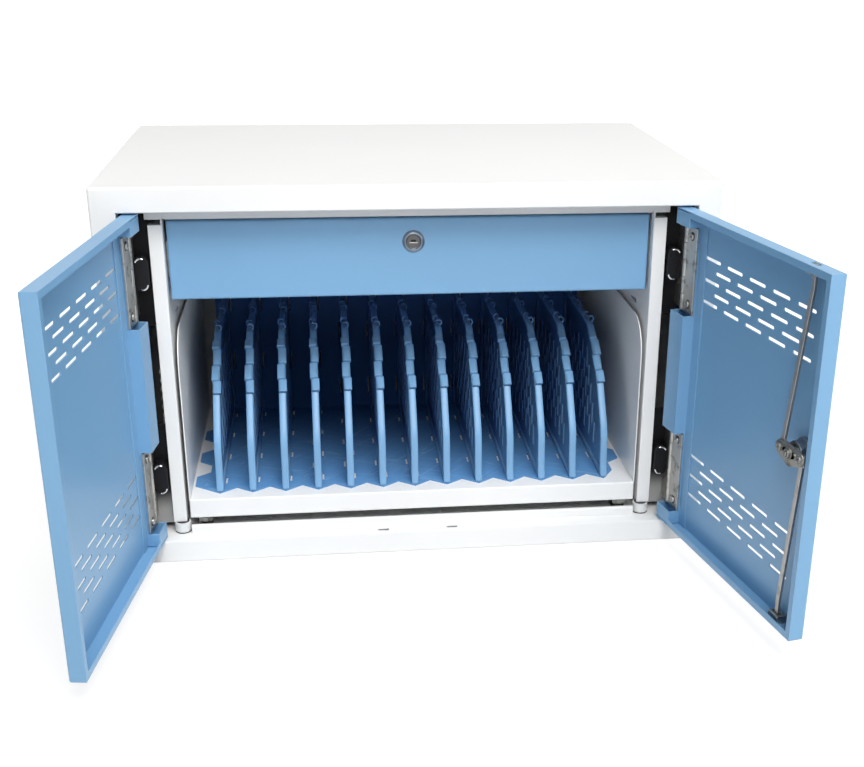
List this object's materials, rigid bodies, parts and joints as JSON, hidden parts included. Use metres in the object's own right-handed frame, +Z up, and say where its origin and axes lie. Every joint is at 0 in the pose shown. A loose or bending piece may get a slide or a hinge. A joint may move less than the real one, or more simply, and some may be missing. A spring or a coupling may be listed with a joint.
{
  "type": "cell phone locker box",
  "caption": "Desk-top steel cabinet with two vented hinged doors, a rod lock, a locking drawer and a pull-out tray of upright phone bays.",
  "frame": {"origin": "middle of the case's underside", "axes": "+X to the right, +Y to the back, +Z up; the doors open towards -Y"},
  "size_m": [0.6334, 0.6514, 0.385],
  "materials": {
    "case_white": "smooth satin powder coat",
    "door_blue": "smooth satin powder coat",
    "divider_blue": "moulded, slightly glossy",
    "hinge_steel": "zinc plated",
    "rod_steel": "bare steel bar",
    "lock_chrome": "polished",
    "block_black": "moulded",
    "rail_dark": "dull black paint",
    "slide_zinc": "zinc plated",
    "foot_white": "moulded",
    "washer_dark": "moulded"
  },
  "bodies": {
    "cabinet": {"case_wrap": "case_white", "face_frame": "case_white", "base_pan": "case_white", "inner_floor": "case_white", "back_panel": "case_white", "rack_side_left": "case_white", "rack_side_right": "case_white", "rack_base": "case_white", "top_rail": "case_white", "top_brackets": "case_white", "rear_rail": "case_white", "rack_feet": "foot_white", "rack_washers": "washer_dark", "slide_rails": "slide_zinc", "rack_screws": "hinge_steel", "hinge_leaves_fixed": "hinge_steel", "hinge_pins": "hinge_steel", "hinge_blocks": "block_black", "hinge_clips": "lock_chrome", "hinge_rails": "rail_dark"},
    "door_left": {"door_left_panel": "door_blue", "door_left_stile": "door_blue", "door_left_hinge_leaves": "hinge_steel", "door_left_hinge_backing": "hinge_steel", "door_left_hinge_screws": "hinge_steel"},
    "door_right": {"door_right_panel": "door_blue", "door_right_stile": "door_blue", "door_right_hinge_leaves": "hinge_steel", "door_right_hinge_backing": "hinge_steel", "door_right_hinge_screws": "hinge_steel", "lock_housing": "lock_chrome", "lock_escutcheon": "lock_chrome", "rod_guides": "hinge_steel"},
    "rod_lock": {"lock_plug": "lock_chrome", "lock_crank": "hinge_steel"},
    "upper_rod": {"rod_upper": "rod_steel"},
    "lower_rod": {"rod_lower": "rod_steel"},
    "drawer": {"drawer_front": "door_blue", "drawer_box": "case_white", "drawer_runners": "slide_zinc", "drawer_lock_body": "lock_chrome"},
    "drawer_lock": {"drawer_lock_plug": "lock_chrome", "drawer_lock_cam": "hinge_steel"},
    "tray": {"tray_shelf": "case_white", "tray_sides": "case_white", "tray_runners": "slide_zinc", "bay_base": "door_blue", "divider_01": "divider_blue", "divider_02": "divider_blue", "divider_03": "divider_blue", "divider_04": "divider_blue", "divider_05": "divider_blue", "divider_06": "divider_blue", "divider_07": "divider_blue", "divider_08": "divider_blue", "divider_09": "divider_blue", "divider_10": "divider_blue", "divider_11": "divider_blue", "divider_12": "divider_blue", "divider_13": "divider_blue"}
  },
  "joints": [
    {"name": "door_left_hinge", "type": "hinge", "parent": "cabinet", "child": "door_left", "pos_m": [-0.2682, -0.1904, 0.1925], "axis": [0, 0, -1], "range_deg": [-98, 10]},
    {"name": "door_right_hinge", "type": "hinge", "parent": "cabinet", "child": "door_right", "pos_m": [0.2682, -0.1904, 0.1925], "axis": [0, 0, 1], "range_deg": [-101, 7]},
    {"name": "drawer_slide", "type": "slide", "parent": "cabinet", "child": "drawer", "axis": [0, -1, 0], "range_m": [0, 0.2]},
    {"name": "tray_slide", "type": "slide", "parent": "cabinet", "child": "tray", "axis": [0, -1, 0], "range_m": [0, 0.2]},
    {"name": "drawer_lock_turn", "type": "hinge", "parent": "drawer", "child": "drawer_lock", "pos_m": [0, -0.165, 0.3238], "axis": [0, -1, 0], "range_deg": [0, 90]},
    {"name": "rod_lock_turn", "type": "hinge", "parent": "door_right", "child": "rod_lock", "pos_m": [0.31375, -0.42471, 0.196], "axis": [0.9816, 0.1908, 0], "range_deg": [0, 45]},
    {"name": "upper_rod_slide", "type": "slide", "parent": "door_right", "child": "upper_rod", "axis": [0, 0, 1], "range_m": [0, 0.01135]},
    {"name": "lower_rod_slide", "type": "slide", "parent": "door_right", "child": "lower_rod", "axis": [0, 0, -1], "range_m": [0, 0.01135]}
  ],
  "couplings": [
    {"joint": "upper_rod_slide", "follows": "rod_lock_turn", "m_per_rad": 0.014405},
    {"joint": "lower_rod_slide", "follows": "rod_lock_turn", "m_per_rad": 0.014405}
  ]
}
